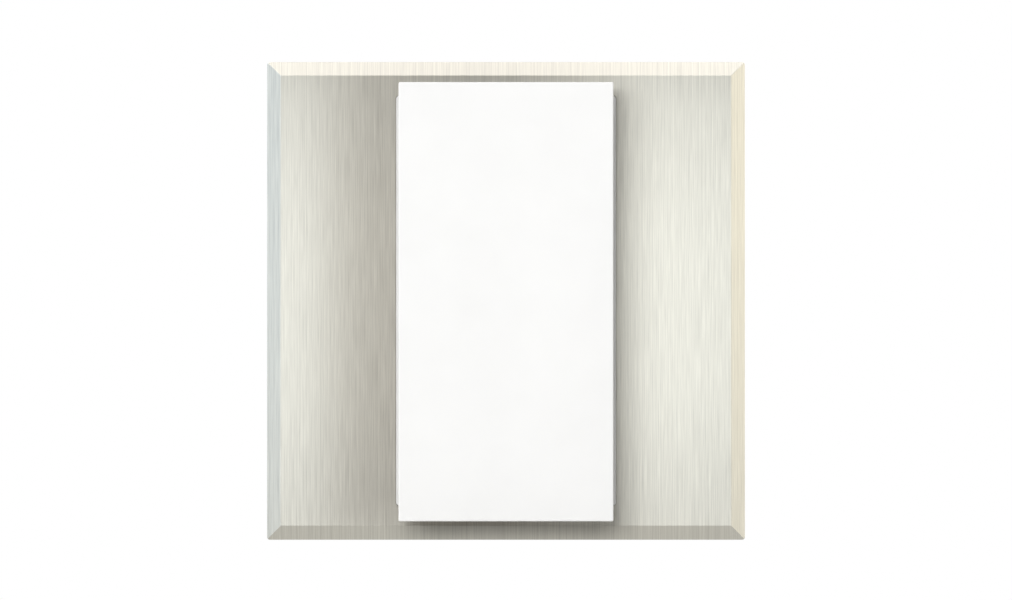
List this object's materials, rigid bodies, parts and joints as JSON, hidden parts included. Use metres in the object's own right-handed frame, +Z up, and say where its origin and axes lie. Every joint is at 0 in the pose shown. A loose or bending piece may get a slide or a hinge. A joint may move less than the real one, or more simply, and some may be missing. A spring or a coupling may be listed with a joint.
{
  "type": "rocker light switch with metal frame",
  "caption": "Square brushed-metal frame with a bevelled edge around a tall flat white rocker key that presses spring plungers and contacts in a housing behind the wall.",
  "frame": {"origin": "centre of the plate on the wall plane, at the back face of the mounting yoke", "axes": "+X right, +Y into the wall, +Z up; the front faces -Y"},
  "size_m": [0.086, 0.0386, 0.086],
  "materials": {
    "brushed_metal": "vertically brushed, pale champagne tone",
    "white_plastic": "smooth, slightly glossy white",
    "clip_plastic": "satin light grey",
    "yoke_plastic": "satin off-white",
    "housing_plastic": "satin grey",
    "cradle_plastic": "satin white",
    "plunger_plastic": "smooth ivory",
    "brass": "plain drawn brass",
    "bridge_bronze": "rolled spring bronze",
    "contact_silver": "polished silver",
    "spring_steel": "drawn wire",
    "screw_steel": "bright zinc plate"
  },
  "bodies": {
    "base": {"front_frame": "brushed_metal", "frame_backing": "clip_plastic", "mounting_yoke": "yoke_plastic", "mechanism_cover": "white_plastic", "mechanism_housing": "housing_plastic", "cover_screws": "screw_steel", "common_strip": "brass", "upper_strip": "brass", "lower_strip": "brass", "fixed_contacts": "contact_silver", "common_terminal": "brass", "upper_terminal": "brass", "lower_terminal": "brass", "terminal_screws": "screw_steel", "return_spring_upper": "spring_steel", "return_spring_lower": "spring_steel"},
    "rocker": {"rocker_key": "white_plastic", "rocker_cradle": "cradle_plastic"},
    "plunger_upper": {"plunger_upper": "plunger_plastic", "contact_bridge_upper": "bridge_bronze", "bridge_contacts_upper": "contact_silver"},
    "plunger_lower": {"plunger_lower": "plunger_plastic", "contact_bridge_lower": "bridge_bronze", "bridge_contacts_lower": "contact_silver"}
  },
  "joints": [
    {"name": "rocker_tilt", "type": "hinge", "parent": "base", "child": "rocker", "pos_m": [0, -0.006, 0], "axis": [1, 0, 0], "range_deg": [-3, 3], "stiffness_Nm_per_rad": 2},
    {"name": "plunger_upper_slide", "type": "slide", "parent": "base", "child": "plunger_upper", "axis": [0, 1, 0], "range_m": [-0.00116, 0.00116], "deforming": ["return_spring_upper"]},
    {"name": "plunger_lower_slide", "type": "slide", "parent": "base", "child": "plunger_lower", "axis": [0, 1, 0], "range_m": [-0.00116, 0.00116], "deforming": ["return_spring_lower"]}
  ],
  "couplings": [
    {"joint": "plunger_upper_slide", "follows": "rocker_tilt", "m_per_rad": -0.022},
    {"joint": "plunger_lower_slide", "follows": "rocker_tilt", "m_per_rad": 0.022}
  ]
}
